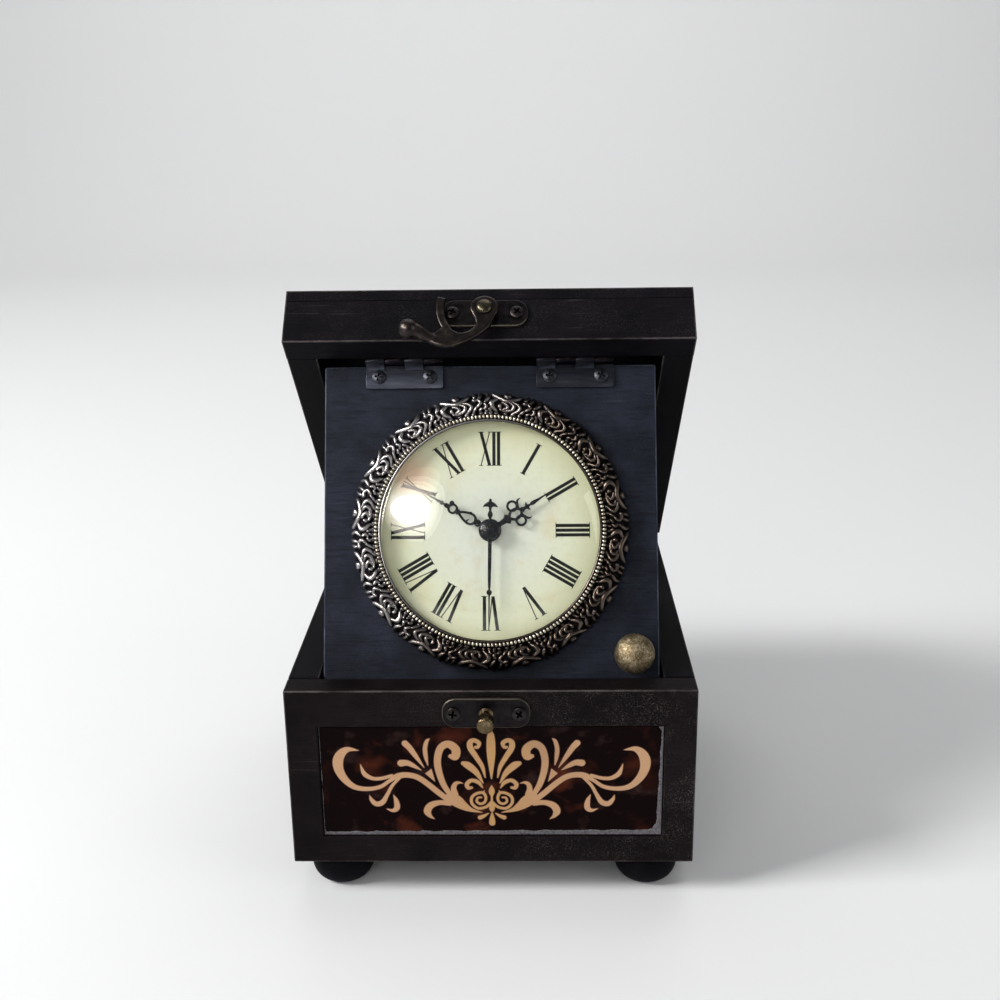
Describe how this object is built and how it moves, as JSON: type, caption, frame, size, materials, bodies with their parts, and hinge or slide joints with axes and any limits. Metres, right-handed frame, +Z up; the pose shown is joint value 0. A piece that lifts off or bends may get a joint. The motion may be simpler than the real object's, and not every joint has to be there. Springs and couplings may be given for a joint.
{
  "type": "clock diversion safe",
  "caption": "Small black wooden box on bun feet; its raised lid carries a square clock panel that folds down flat under the lid and hides the compartment.",
  "frame": {"origin": "middle of the object's box, on the surface that the feet stand on, with the lid raised and the clock panel standing", "axes": "+Z up, front (the clock face and the framed glass tile) towards -Y, +X to the right seen from the front"},
  "size_m": [0.153, 0.1936, 0.2195],
  "materials": {
    "black_wood": "black paint rubbed back to a fine greyish-brown speckle, worn lighter at the edges",
    "slate_wood": "smooth satin slate-blue paint",
    "tile_glass": "dark tortoise glass with a peach palmette and scrolls",
    "aged_steel": "dull grey-blue with worn edges",
    "aged_bronze": "dark aged bronze, brighter where it is rubbed",
    "aged_brass": "mottled antique brass",
    "bezel_metal": "embossed scrolls, black in the recesses, silvery bronze on the high parts",
    "clear_glass": "clear and polished",
    "dial_card": "aged cream print with black numerals",
    "hand_black": "semi-gloss black",
    "case_plastic": "black moulded plastic",
    "battery_jacket": "plain printed jacket with a bare metal nub",
    "zinc_steel": "zinc plated"
  },
  "bodies": {
    "base": {"base_front_wall": "black_wood", "base_back_wall": "black_wood", "base_left_wall": "black_wood", "base_right_wall": "black_wood", "base_bottom_board": "black_wood", "glass_tile": "tile_glass", "foot_front_left": "black_wood", "foot_front_right": "black_wood", "foot_rear_left": "black_wood", "foot_rear_right": "black_wood", "catch_plate": "aged_bronze", "catch_screw_left": "aged_bronze", "catch_screw_right": "aged_bronze", "catch_pin": "aged_brass", "rear_hinge_base_leaf_left": "aged_steel", "rear_hinge_base_leaf_right": "aged_steel", "rear_hinge_pin_left": "aged_steel", "rear_hinge_pin_right": "aged_steel"},
    "lid": {"lid_front_rail": "black_wood", "lid_back_rail": "black_wood", "lid_left_rail": "black_wood", "lid_right_rail": "black_wood", "lid_top_board": "black_wood", "rear_hinge_lid_leaf_left": "aged_steel", "rear_hinge_lid_leaf_right": "aged_steel", "panel_hinge_rail_leaf_left": "aged_bronze", "panel_hinge_rail_leaf_right": "aged_bronze", "panel_hinge_pin_left": "aged_steel", "panel_hinge_pin_right": "aged_steel", "latch_plate": "aged_bronze", "latch_screw_left": "aged_bronze", "latch_screw_right": "aged_bronze", "latch_rivet": "aged_brass"},
    "hook": {"latch_hook": "aged_bronze"},
    "clock_panel": {"clock_panel": "slate_wood", "panel_hinge_leaf_left": "aged_steel", "panel_hinge_leaf_right": "aged_steel", "panel_hinge_screw_left_outer": "aged_steel", "panel_hinge_screw_left_inner": "aged_steel", "panel_hinge_screw_right_outer": "aged_steel", "panel_hinge_screw_right_inner": "aged_steel", "bezel": "bezel_metal", "clock_glass": "clear_glass", "glass_spacer_ring": "aged_brass", "dial": "dial_card", "dial_plate": "zinc_steel", "movement_case": "case_plastic", "battery": "battery_jacket", "battery_contact_left": "zinc_steel", "battery_contact_right": "zinc_steel", "spindle_bush": "aged_brass", "spindle_nut": "aged_brass", "pull_knob": "aged_brass", "knob_screw": "zinc_steel"},
    "minute_hand": {"minute_hand": "hand_black"},
    "hour_hand": {"hour_hand": "hand_black"},
    "second_hand": {"second_hand": "hand_black"},
    "set_knob": {"set_knob": "case_plastic"}
  },
  "joints": [
    {"name": "lid_hinge", "type": "hinge", "parent": "base", "child": "lid", "pos_m": [0, 0.08175, 0.08515], "axis": [-1, 0, 0], "range_deg": [-45, 0]},
    {"name": "panel_hinge", "type": "hinge", "parent": "lid", "child": "clock_panel", "pos_m": [0, -0.02668, 0.1938], "axis": [-1, 0, 0], "range_deg": [-67.25, 0]},
    {"name": "hook_pivot", "type": "hinge", "parent": "lid", "child": "hook", "pos_m": [-0.0015, -0.02817, 0.21112], "axis": [0, 0.7071, -0.7071], "range_deg": [-65.5, 35]},
    {"name": "minute_hand_turn", "type": "hinge", "parent": "clock_panel", "child": "minute_hand", "pos_m": [0, -0.04939, 0.13351], "axis": [0, 0.9256, -0.3785], "continuous": true},
    {"name": "hour_hand_turn", "type": "hinge", "parent": "clock_panel", "child": "hour_hand", "pos_m": [0, -0.04939, 0.13351], "axis": [0, 0.9256, -0.3785], "continuous": true},
    {"name": "second_hand_turn", "type": "hinge", "parent": "clock_panel", "child": "second_hand", "pos_m": [0, -0.04939, 0.13351], "axis": [0, 0.9256, -0.3785], "continuous": true},
    {"name": "set_knob_turn", "type": "hinge", "parent": "clock_panel", "child": "set_knob", "pos_m": [0.014, -0.04561, 0.14276], "axis": [0, 0.9256, -0.3785], "continuous": true}
  ],
  "couplings": [
    {"joint": "panel_hinge", "follows": "lid_hinge", "ratio": 1.4942},
    {"joint": "hour_hand_turn", "follows": "minute_hand_turn", "ratio": 0.083333},
    {"joint": "set_knob_turn", "follows": "minute_hand_turn", "ratio": -3}
  ]
}
